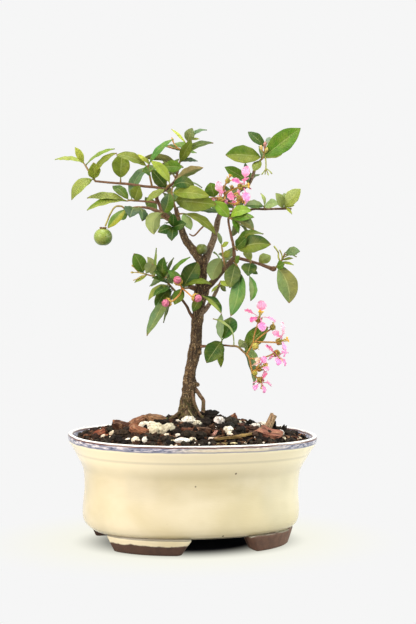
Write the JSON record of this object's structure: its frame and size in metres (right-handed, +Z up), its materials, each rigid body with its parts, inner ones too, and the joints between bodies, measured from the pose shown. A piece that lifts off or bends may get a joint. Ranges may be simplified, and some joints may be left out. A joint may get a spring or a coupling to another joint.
{
  "type": "barbados cherry bonsai",
  "caption": "Small barbados cherry bonsai with green leaves, pink flowers, buds and green fruit, growing in a dark bark mix in a glazed oval pot on corner feet.",
  "frame": {"origin": "middle of the pot on the surface that it stands on", "axes": "+Z up along the trunk, +X along the pot's long side, +Y across the pot towards its back"},
  "size_m": [0.1446, 0.1076, 0.239],
  "materials": {
    "glazed_pot": "glossy cream glaze with a blue-grey rim band; bare brown clay feet",
    "drain_screen": "matt black mesh",
    "potting_mix": "dark loose bark crumbs with reddish chips and white pumice",
    "bark": "rough brown bark with tan scales",
    "fruit": "smooth unripe green skin",
    "flower_stalk": "green to orange-brown skin",
    "petal": "soft satin pink",
    "leaf": "smooth leathery green"
  },
  "bodies": {
    "root": {"pot": "glazed_pot", "drain_screen_left": "drain_screen", "drain_screen_right": "drain_screen", "soil": "potting_mix", "trunk": "bark", "fruit_left": "fruit", "fruit_fork": "fruit", "lower_right_flower_stalks": "flower_stalk", "top_flower_stalks": "flower_stalk", "flower_bud_stalks": "flower_stalk", "flower_bud_top": "petal", "flower_bud_left": "petal", "flower_bud_right": "petal", "bloom_low_upper": "petal", "bloom_low_right": "petal", "bloom_low_middle": "petal", "bloom_low_pale": "petal", "bloom_low_tip": "petal", "bloom_top_pale": "petal", "bloom_top_left": "petal", "bloom_top_right": "petal", "left_arm_tip": "leaf", "left_arm_middle": "leaf", "left_upper": "leaf", "left_inner": "leaf", "left_middle_tip": "leaf", "left_fruit_shoot": "leaf", "left_fork_pair": "leaf", "left_rosette": "leaf", "fork_mint": "leaf", "top_shoot": "leaf", "upper_centre": "leaf", "upper_right_pair": "leaf", "centre_left": "leaf", "centre_back": "leaf", "flower_leaf": "leaf", "right_inner": "leaf", "right_middle_inner": "leaf", "centre_small": "leaf", "right_middle_olive": "leaf", "right_hanging": "leaf", "centre_hanging": "leaf", "right_end": "leaf", "right_arm_tip": "leaf", "right_arm_middle": "leaf", "top_right": "leaf", "top_right_low": "leaf", "lower_left_spray": "leaf", "lower_left_buds": "leaf", "trunk_low_leaves": "leaf", "grey_branch_tip": "leaf", "lower_right_near": "leaf", "lower_right_far": "leaf", "back_left_high": "leaf", "back_left_low": "leaf", "back_right_high": "leaf", "back_right_low": "leaf", "back_middle": "leaf", "back_low": "leaf", "back_top": "leaf"}
  },
  "joints": []
}
